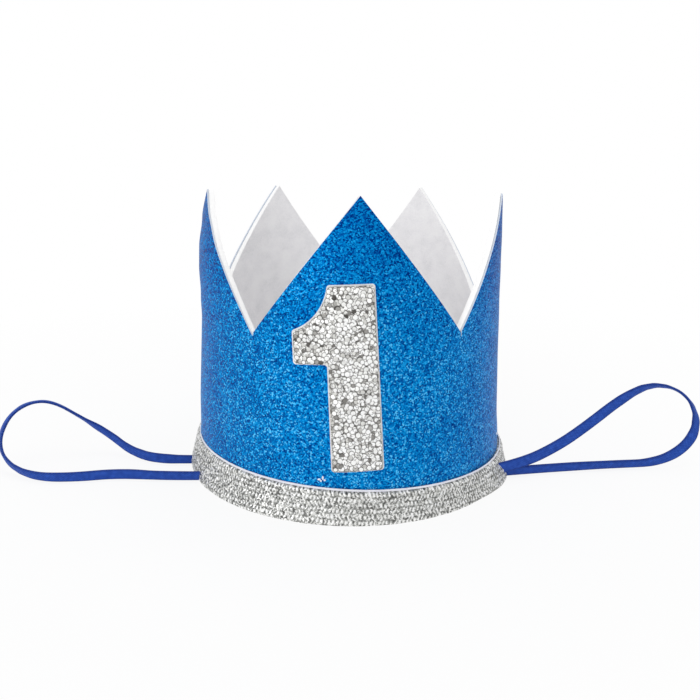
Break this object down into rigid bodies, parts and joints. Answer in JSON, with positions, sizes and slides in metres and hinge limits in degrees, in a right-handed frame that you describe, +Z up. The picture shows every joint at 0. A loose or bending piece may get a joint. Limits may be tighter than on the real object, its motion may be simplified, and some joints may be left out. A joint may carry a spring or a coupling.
{
  "type": "party crown",
  "caption": "Small round party crown with pointed upper edge, glittery outer face, felt lining, padded ribbon hem, a glued-on numeral and an elastic loop at each side",
  "frame": {"origin": "centre of the crown's hem, on the surface that it stands on", "axes": "+Z up along the crown's axis, the numeral on the -Y side, +X to the right of a person facing it"},
  "size_m": [0.2314, 0.1058, 0.0903],
  "materials": {
    "white_felt": "pressed craft felt, matt, with short loose fibres",
    "blue_glitter": "fine blue glitter bonded to a thin cloth sheet, sparkling",
    "silver_ribbon": "woven metallic thread, soft and glittering",
    "white_edging": "smooth woven edge, satin",
    "white_backing": "white cloth backing, cut edge",
    "silver_flakes": "coarse metallised flakes, overlapping, bright",
    "blue_elastic": "flat woven elastic, slightly glossy"
  },
  "bodies": {
    "root": {"felt_lining": "white_felt", "glitter_cover": "blue_glitter", "base_trim": "silver_ribbon", "trim_edging": "white_edging", "numeral_backing": "white_backing", "numeral_one": "silver_flakes", "elastic_loop_left": "blue_elastic", "elastic_loop_right": "blue_elastic"}
  },
  "joints": []
}
